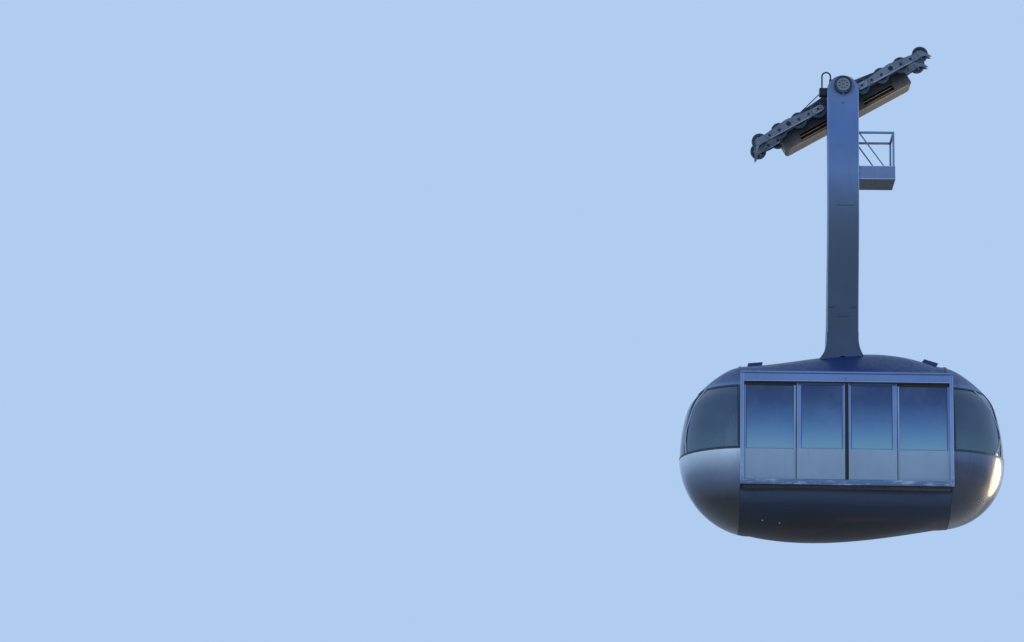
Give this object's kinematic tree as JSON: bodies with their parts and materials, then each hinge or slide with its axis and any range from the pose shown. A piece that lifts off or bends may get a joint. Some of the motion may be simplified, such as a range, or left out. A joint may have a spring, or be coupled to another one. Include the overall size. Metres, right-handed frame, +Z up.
{
  "type": "aerial tramway cabin with hanger and carriage",
  "caption": "Egg-shaped cabin with sliding side doors, hung by one side arm from an inclined rocker carriage of grooved rollers that run on two ropes.",
  "frame": {"origin": "midway between the two track ropes, where the rollers bear on them, straight below the hanger pin", "axes": "+X level, along the ropes' line to the uphill end, +Y across the ropes away from the arm's side, +Z up"},
  "size_m": [7.4861, 3.444, 11.8663],
  "materials": {
    "carriage_plate": "weathered grey paint",
    "carriage_box": "dull dark grey paint",
    "bright_steel": "machined",
    "dark_steel": "oiled",
    "roller_steel": "worn rim",
    "pin_flange": "satin",
    "arm_paint": "satin blue grey paint",
    "platform_metal": "dull",
    "hull_paint": "glossy metallic silver blue",
    "portal_paint": "glossy metallic silver blue",
    "door_paint": "glossy metallic silver blue",
    "window_glass": "dark tinted, clear",
    "black_rubber": "matt",
    "floor_covering": "matt"
  },
  "bodies": {
    "carriage": {"rockers": "carriage_plate", "balance_beams": "carriage_plate", "rope_guides": "carriage_plate", "axles": "bright_steel", "main_pivots": "dark_steel", "girder": "carriage_box"},
    "hanger": {"hanger_pin": "pin_flange", "arm": "arm_paint", "junction_box": "dark_steel", "head_hose": "black_rubber", "hose_gland": "dark_steel", "platform_tray": "platform_metal", "platform_railing": "platform_metal", "roof_centre": "hull_paint", "roof_vents": "hull_paint", "belly_centre": "hull_paint", "floor": "floor_covering", "grab_poles": "bright_steel", "roof_left": "hull_paint", "belly_left": "hull_paint", "end_frame_left": "hull_paint", "end_glass_left": "window_glass", "roof_right": "hull_paint", "belly_right": "hull_paint", "end_frame_right": "hull_paint", "end_glass_right": "window_glass", "portal_near": "portal_paint", "side_panels_near": "door_paint", "side_glass_near": "window_glass", "door_track_near": "dark_steel", "portal_far": "portal_paint", "side_panels_far": "door_paint", "side_glass_far": "window_glass", "door_track_far": "dark_steel"},
    "roller_near_1": {"roller_near_1": "roller_steel"},
    "roller_near_2": {"roller_near_2": "roller_steel"},
    "roller_near_3": {"roller_near_3": "roller_steel"},
    "roller_near_4": {"roller_near_4": "roller_steel"},
    "roller_near_5": {"roller_near_5": "roller_steel"},
    "roller_near_6": {"roller_near_6": "roller_steel"},
    "roller_near_7": {"roller_near_7": "roller_steel"},
    "roller_near_8": {"roller_near_8": "roller_steel"},
    "roller_far_1": {"roller_far_1": "roller_steel"},
    "roller_far_2": {"roller_far_2": "roller_steel"},
    "roller_far_3": {"roller_far_3": "roller_steel"},
    "roller_far_4": {"roller_far_4": "roller_steel"},
    "roller_far_5": {"roller_far_5": "roller_steel"},
    "roller_far_6": {"roller_far_6": "roller_steel"},
    "roller_far_7": {"roller_far_7": "roller_steel"},
    "roller_far_8": {"roller_far_8": "roller_steel"},
    "door_near_left": {"door_near_left": "door_paint", "door_glass_near_left": "window_glass"},
    "door_near_right": {"door_near_right": "door_paint", "door_glass_near_right": "window_glass"},
    "door_far_left": {"door_far_left": "door_paint", "door_glass_far_left": "window_glass"},
    "door_far_right": {"door_far_right": "door_paint", "door_glass_far_right": "window_glass"}
  },
  "joints": [
    {"name": "hanger_swing", "type": "hinge", "parent": "carriage", "child": "hanger", "pos_m": [0, 0, 0.31], "axis": [0, 1, 0], "range_deg": [-40, 15]},
    {"name": "roller_near_1_spin", "type": "hinge", "parent": "carriage", "child": "roller_near_1", "pos_m": [-1.93146, -0.4, -0.92461], "axis": [0, 1, 0], "continuous": true},
    {"name": "roller_near_2_spin", "type": "hinge", "parent": "carriage", "child": "roller_near_2", "pos_m": [-1.47247, -0.4, -0.65961], "axis": [0, 1, 0], "continuous": true},
    {"name": "roller_near_3_spin", "type": "hinge", "parent": "carriage", "child": "roller_near_3", "pos_m": [-1.01348, -0.4, -0.39461], "axis": [0, 1, 0], "continuous": true},
    {"name": "roller_near_4_spin", "type": "hinge", "parent": "carriage", "child": "roller_near_4", "pos_m": [-0.55448, -0.4, -0.12961], "axis": [0, 1, 0], "continuous": true},
    {"name": "roller_near_5_spin", "type": "hinge", "parent": "carriage", "child": "roller_near_5", "pos_m": [0.47609, -0.4, 0.46539], "axis": [0, 1, 0], "continuous": true},
    {"name": "roller_near_6_spin", "type": "hinge", "parent": "carriage", "child": "roller_near_6", "pos_m": [0.93508, -0.4, 0.73039], "axis": [0, 1, 0], "continuous": true},
    {"name": "roller_near_7_spin", "type": "hinge", "parent": "carriage", "child": "roller_near_7", "pos_m": [1.39407, -0.4, 0.99539], "axis": [0, 1, 0], "continuous": true},
    {"name": "roller_near_8_spin", "type": "hinge", "parent": "carriage", "child": "roller_near_8", "pos_m": [1.85307, -0.4, 1.26039], "axis": [0, 1, 0], "continuous": true},
    {"name": "roller_far_1_spin", "type": "hinge", "parent": "carriage", "child": "roller_far_1", "pos_m": [-1.93146, 0.4, -0.92461], "axis": [0, 1, 0], "continuous": true},
    {"name": "roller_far_2_spin", "type": "hinge", "parent": "carriage", "child": "roller_far_2", "pos_m": [-1.47247, 0.4, -0.65961], "axis": [0, 1, 0], "continuous": true},
    {"name": "roller_far_3_spin", "type": "hinge", "parent": "carriage", "child": "roller_far_3", "pos_m": [-1.01348, 0.4, -0.39461], "axis": [0, 1, 0], "continuous": true},
    {"name": "roller_far_4_spin", "type": "hinge", "parent": "carriage", "child": "roller_far_4", "pos_m": [-0.55448, 0.4, -0.12961], "axis": [0, 1, 0], "continuous": true},
    {"name": "roller_far_5_spin", "type": "hinge", "parent": "carriage", "child": "roller_far_5", "pos_m": [0.47609, 0.4, 0.46539], "axis": [0, 1, 0], "continuous": true},
    {"name": "roller_far_6_spin", "type": "hinge", "parent": "carriage", "child": "roller_far_6", "pos_m": [0.93508, 0.4, 0.73039], "axis": [0, 1, 0], "continuous": true},
    {"name": "roller_far_7_spin", "type": "hinge", "parent": "carriage", "child": "roller_far_7", "pos_m": [1.39407, 0.4, 0.99539], "axis": [0, 1, 0], "continuous": true},
    {"name": "roller_far_8_spin", "type": "hinge", "parent": "carriage", "child": "roller_far_8", "pos_m": [1.85307, 0.4, 1.26039], "axis": [0, 1, 0], "continuous": true},
    {"name": "door_near_left_slide", "type": "slide", "parent": "hanger", "child": "door_near_left", "axis": [-1, 0, 0], "range_m": [0, 1.04]},
    {"name": "door_near_right_slide", "type": "slide", "parent": "hanger", "child": "door_near_right", "axis": [1, 0, 0], "range_m": [0, 1.04]},
    {"name": "door_far_left_slide", "type": "slide", "parent": "hanger", "child": "door_far_left", "axis": [-1, 0, 0], "range_m": [0, 1.04]},
    {"name": "door_far_right_slide", "type": "slide", "parent": "hanger", "child": "door_far_right", "axis": [1, 0, 0], "range_m": [0, 1.04]}
  ],
  "couplings": [
    {"joint": "door_near_right_slide", "follows": "door_near_left_slide", "ratio": 1},
    {"joint": "door_far_right_slide", "follows": "door_far_left_slide", "ratio": 1}
  ]
}
